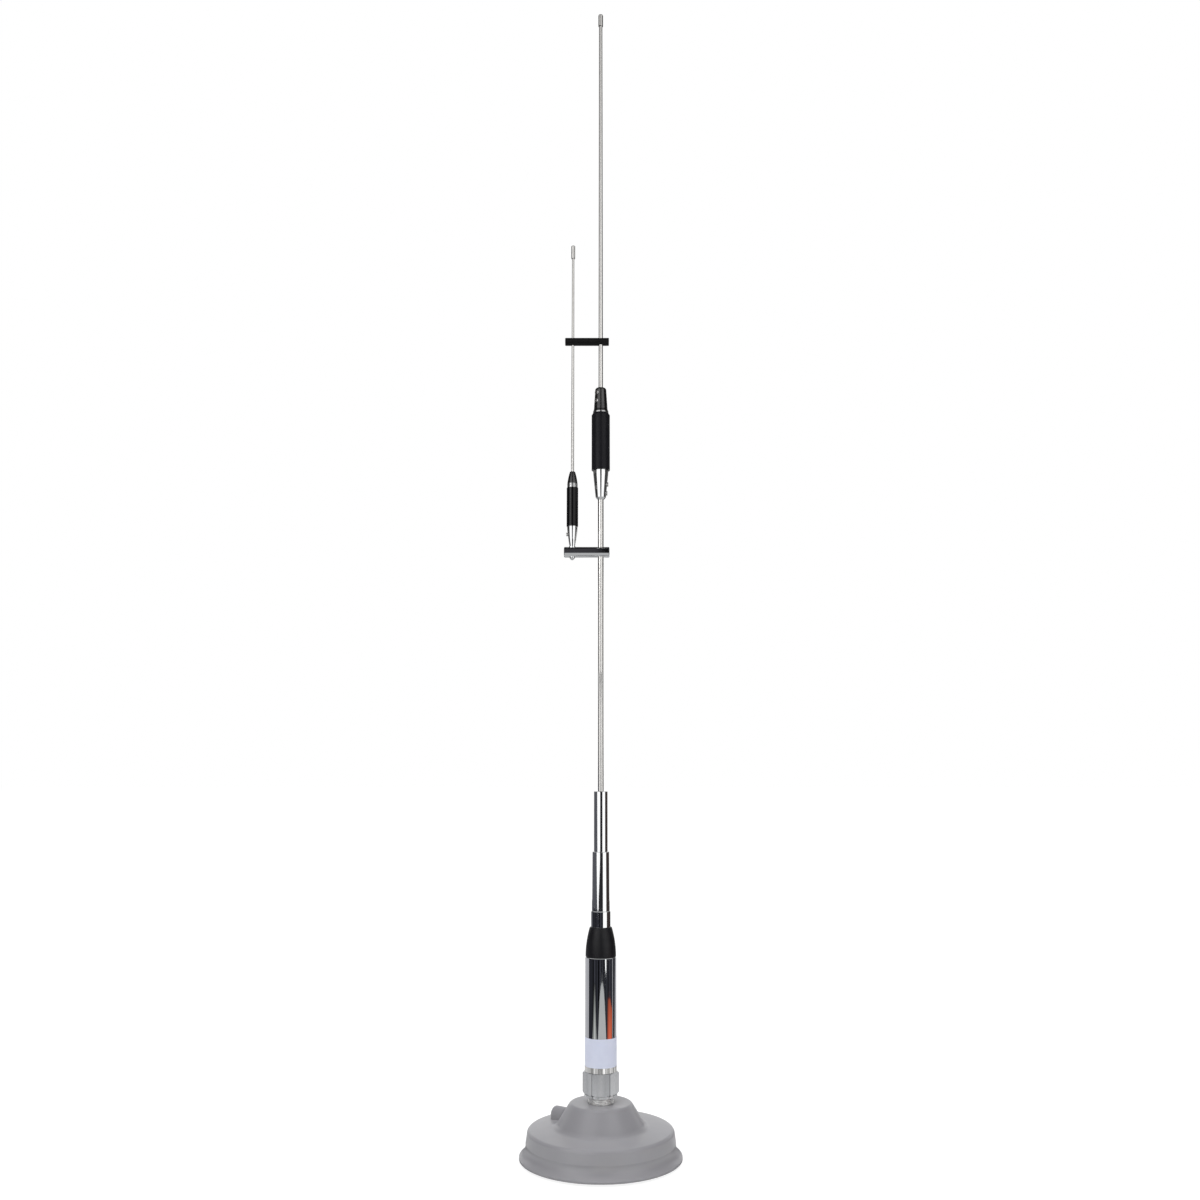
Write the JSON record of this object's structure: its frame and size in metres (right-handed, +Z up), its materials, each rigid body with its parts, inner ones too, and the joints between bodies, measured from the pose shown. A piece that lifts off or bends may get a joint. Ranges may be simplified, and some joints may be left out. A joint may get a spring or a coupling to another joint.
{
  "type": "dual band whip antenna",
  "caption": "Whip antenna with a loading coil, a short side radiator on a clamped cross bar, a coaxial screw coupling and a magnetic base.",
  "frame": {"origin": "centre of the underside of the magnetic base", "axes": "+Z up along the mast; the side radiator stands at -X and the front view looks along +Y"},
  "size_m": [0.1, 0.1, 0.7596],
  "materials": {
    "cover_grey": "satin grey paint on a die-cast cover",
    "pad_black": "matt black",
    "ferrite": "sintered ferrite",
    "zinc_steel": "zinc plated",
    "nickel": "satin nickel plate on brass",
    "white_insulator": "white fluoropolymer",
    "contact_brass": "bright",
    "chrome": "polished",
    "dark_chrome": "black chrome, polished",
    "wrap_film": "blank pale film",
    "bobbin": "natural",
    "copper": "enamelled copper wire",
    "boot_black": "matt black moulding",
    "sleeve_satin_black": "satin black",
    "sleeve_gloss_black": "gloss black",
    "spacer_black": "extruded black rod",
    "stainless": "ground stainless steel",
    "screw_steel": "plain steel"
  },
  "bodies": {
    "base": {"base_shell": "cover_grey", "base_pad": "pad_black", "magnet_ring": "ferrite", "steel_yoke": "zinc_steel", "socket_body": "nickel", "socket_screws": "zinc_steel", "socket_insulator": "white_insulator", "socket_contact": "contact_brass", "plug_body": "nickel", "plug_insulator": "white_insulator", "plug_pin": "contact_brass", "base_tube": "chrome", "label_sleeve": "wrap_film", "base_coil_former": "bobbin", "base_coil_winding": "copper", "feed_insulator": "white_insulator", "boot": "boot_black", "collar": "chrome", "lower_sleeve": "chrome", "upper_sleeve": "chrome", "mast": "stainless"},
    "coupling_nut": {"coupling_nut": "nickel"},
    "main_coil": {"main_lower_ferrule": "chrome", "main_lower_grub_screws": "screw_steel", "main_coil_former": "bobbin", "main_coil_winding": "copper", "main_coil_sleeve": "sleeve_satin_black", "main_upper_ferrule": "dark_chrome", "main_upper_grub_screws": "screw_steel"},
    "main_whip": {"main_whip": "stainless", "main_whip_tip": "stainless"},
    "side_arm": {"clamp_bar": "chrome", "clamp_screw": "screw_steel", "side_stud_screw": "chrome", "side_lower_ferrule": "chrome", "side_grub_screw": "screw_steel", "side_coil_former": "bobbin", "side_coil_winding": "copper", "side_coil_sleeve": "sleeve_gloss_black", "side_upper_ferrule": "dark_chrome", "side_whip": "stainless", "side_whip_tip": "stainless"},
    "spacer": {"spacer_bar": "spacer_black"}
  },
  "joints": [
    {"name": "coupling_nut_turn", "type": "hinge", "parent": "base", "child": "coupling_nut", "pos_m": [0, 0, 0.044], "axis": [0, 0, 1], "continuous": true},
    {"name": "main_coil_slide", "type": "slide", "parent": "base", "child": "main_coil", "axis": [0, 0, 1], "range_m": [-0.006, 0.0015]},
    {"name": "main_whip_slide", "type": "slide", "parent": "main_coil", "child": "main_whip", "axis": [0, 0, 1], "range_m": [-0.012, 0.012]},
    {"name": "side_arm_turn", "type": "hinge", "parent": "base", "child": "side_arm", "pos_m": [0, 0, 0.3773], "axis": [0, 0, 1], "continuous": true},
    {"name": "spacer_slide", "type": "slide", "parent": "side_arm", "child": "spacer", "axis": [0, 0, 1], "range_m": [-0.022, 0.05]}
  ]
}
